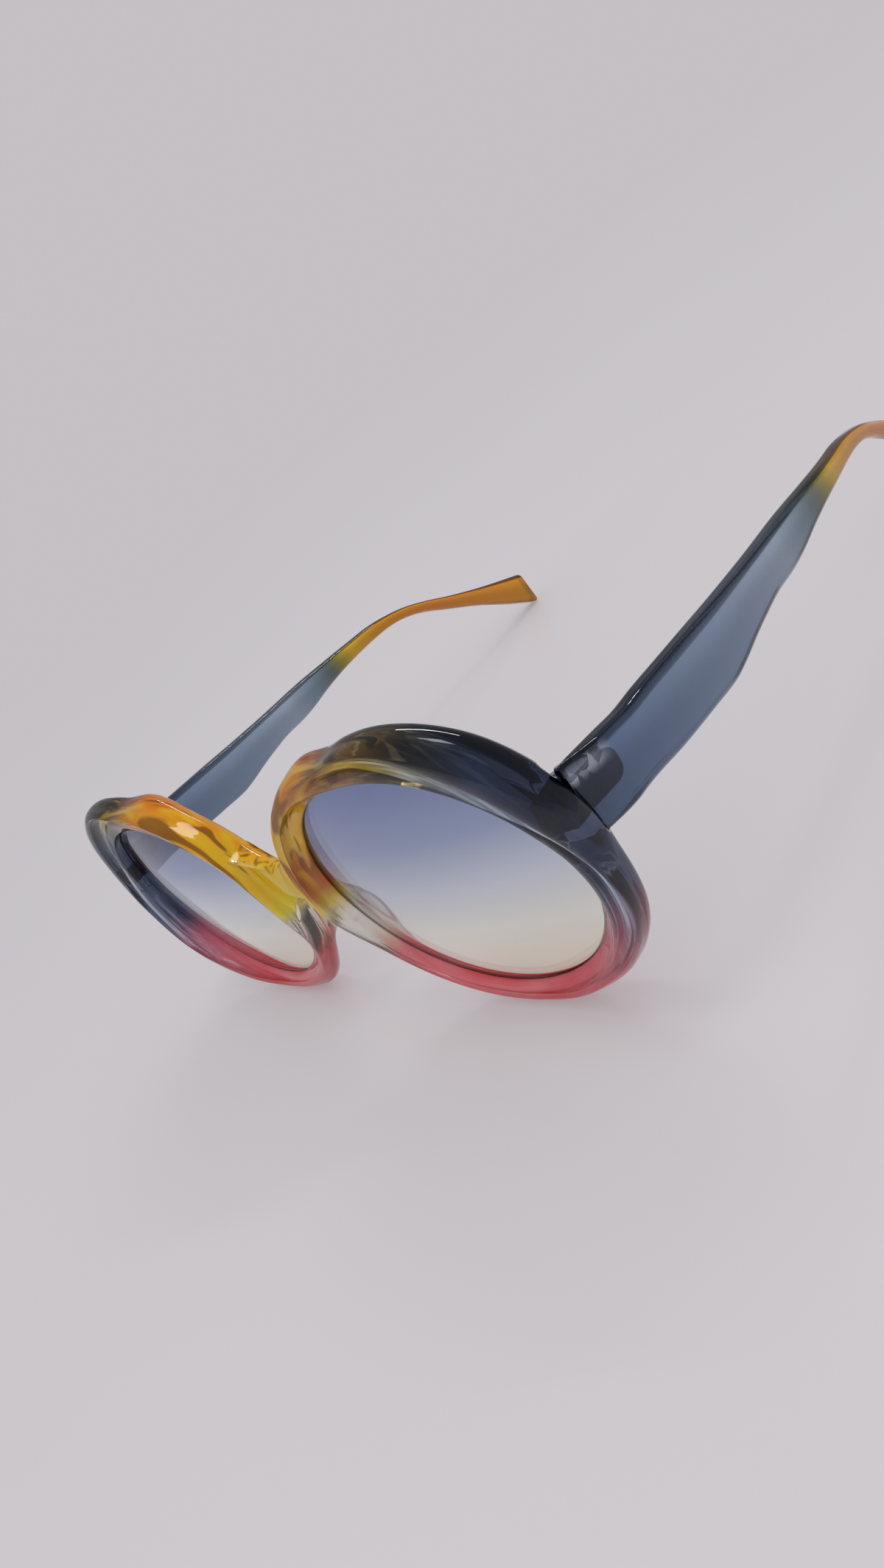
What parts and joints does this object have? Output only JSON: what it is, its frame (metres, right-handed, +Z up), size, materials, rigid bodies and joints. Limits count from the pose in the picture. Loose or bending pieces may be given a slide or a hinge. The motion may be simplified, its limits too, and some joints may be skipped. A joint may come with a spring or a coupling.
{
  "type": "sunglasses",
  "caption": "Oversized round sunglasses with a twisted two-strand front in graded transparent plastic, tinted lenses and folding temples.",
  "frame": {"origin": "middle of the bounding box at table level, with the glasses open and standing on the rim bottoms and temple tips", "axes": "+X to the wearer's left, +Y from the front back along the temples, +Z up; the front faces -Y"},
  "size_m": [0.147, 0.1472, 0.0556],
  "materials": {
    "front_plastic": "polished transparent, graded from smoky blue through amber to pink",
    "temple_plastic": "polished transparent, graded from smoky blue to amber at the tips",
    "lens_tint": "polished tinted sheet, graded from lilac blue to pale champagne",
    "hinge_metal": "satin nickel silver",
    "screw_metal": "polished steel"
  },
  "bodies": {
    "front": {"front_frame": "front_plastic", "left_lens": "lens_tint", "right_lens": "lens_tint", "left_front_hinge_leaf": "hinge_metal", "right_front_hinge_leaf": "hinge_metal", "left_hinge_screw": "screw_metal", "right_hinge_screw": "screw_metal"},
    "left_arm": {"left_temple": "temple_plastic", "left_temple_hinge_leaf": "hinge_metal"},
    "right_arm": {"right_temple": "temple_plastic", "right_temple_hinge_leaf": "hinge_metal"}
  },
  "joints": [
    {"name": "left_temple_fold", "type": "hinge", "parent": "front", "child": "left_arm", "pos_m": [0.0673, -0.06366, 0.03662], "axis": [0, 0, 1], "range_deg": [0, 86]},
    {"name": "right_temple_fold", "type": "hinge", "parent": "front", "child": "right_arm", "pos_m": [-0.0673, -0.06366, 0.03662], "axis": [0, 0, -1], "range_deg": [0, 80]}
  ]
}
